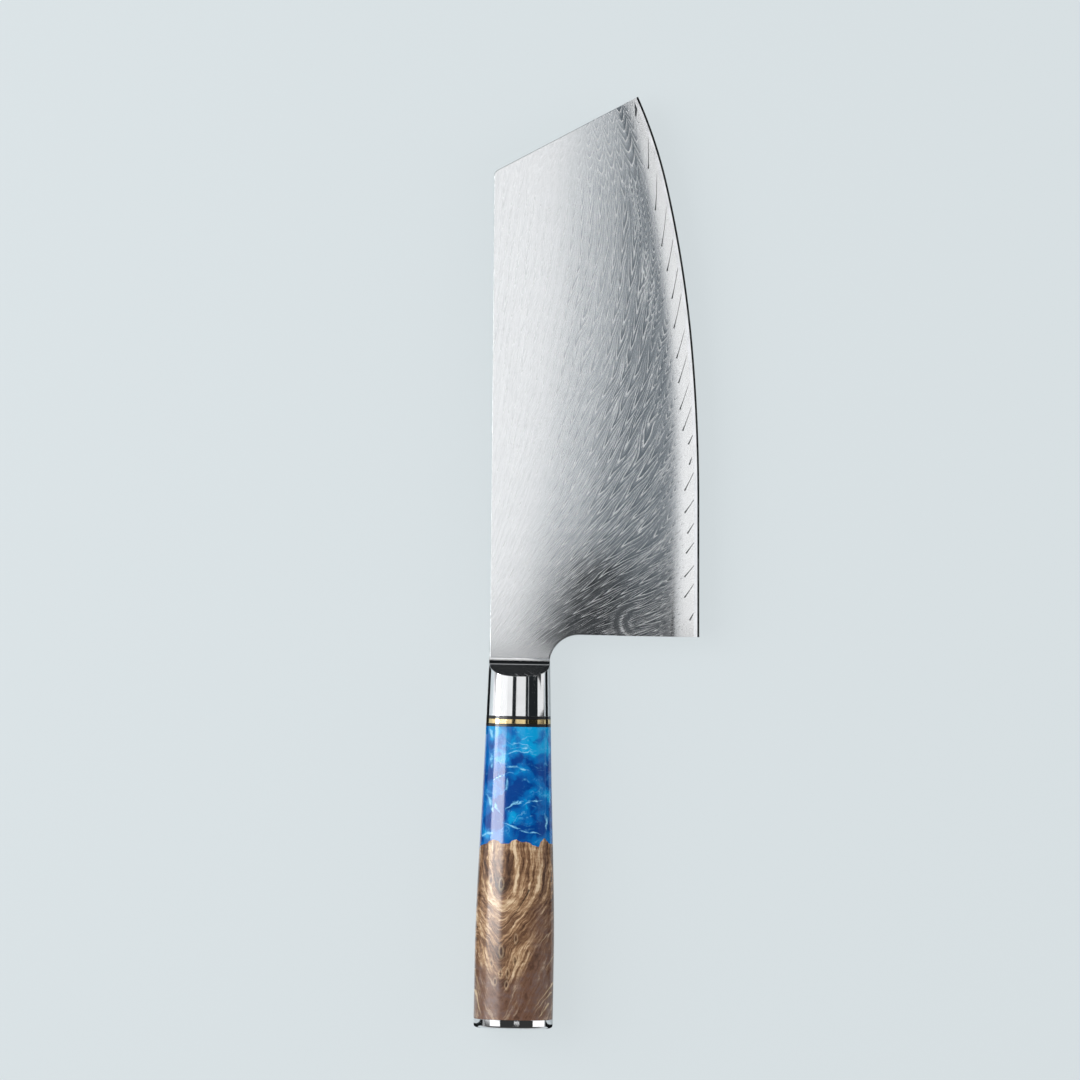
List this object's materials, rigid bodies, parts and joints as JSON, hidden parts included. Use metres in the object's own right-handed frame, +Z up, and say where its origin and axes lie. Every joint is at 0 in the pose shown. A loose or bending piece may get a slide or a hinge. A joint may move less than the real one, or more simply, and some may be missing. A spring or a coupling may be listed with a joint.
{
  "type": "kitchen knife",
  "caption": "Kitchen knife with a tall laminated damascus blade, clipped point, polished bolster and an oval blue resin and burl wood handle with a steel cap.",
  "frame": {"origin": "centre of the knife's footprint, on the surface that its handle's butt lies on", "axes": "+Y along the handle from the butt to the tip, +X from the spine to the cutting edge, +Z up out of the face that the picture shows"},
  "size_m": [0.073, 0.3116, 0.0228],
  "materials": {
    "core_steel": "fine satin, with a ground bright edge",
    "damascus_steel": "satin, with fine etched light and dark layer lines",
    "polished_steel": "mirror polish",
    "black_fibre": "polished flush",
    "brass": "polished",
    "blue_resin": "clear gloss over pearly swirls",
    "burl_wood": "stabilised burl under clear gloss",
    "rod_steel": "plain turned",
    "bedding_epoxy": "cured epoxy"
  },
  "bodies": {
    "root": {"blade_core": "core_steel", "cladding_upper": "damascus_steel", "cladding_lower": "damascus_steel", "bolster": "polished_steel", "front_liner": "black_fibre", "brass_liner": "brass", "rear_liner": "black_fibre", "resin_section": "blue_resin", "burl_section": "burl_wood", "end_cap": "polished_steel", "tang_rod": "rod_steel", "tang_bedding": "bedding_epoxy", "rod_washer": "rod_steel", "rod_nut": "rod_steel"}
  },
  "joints": []
}
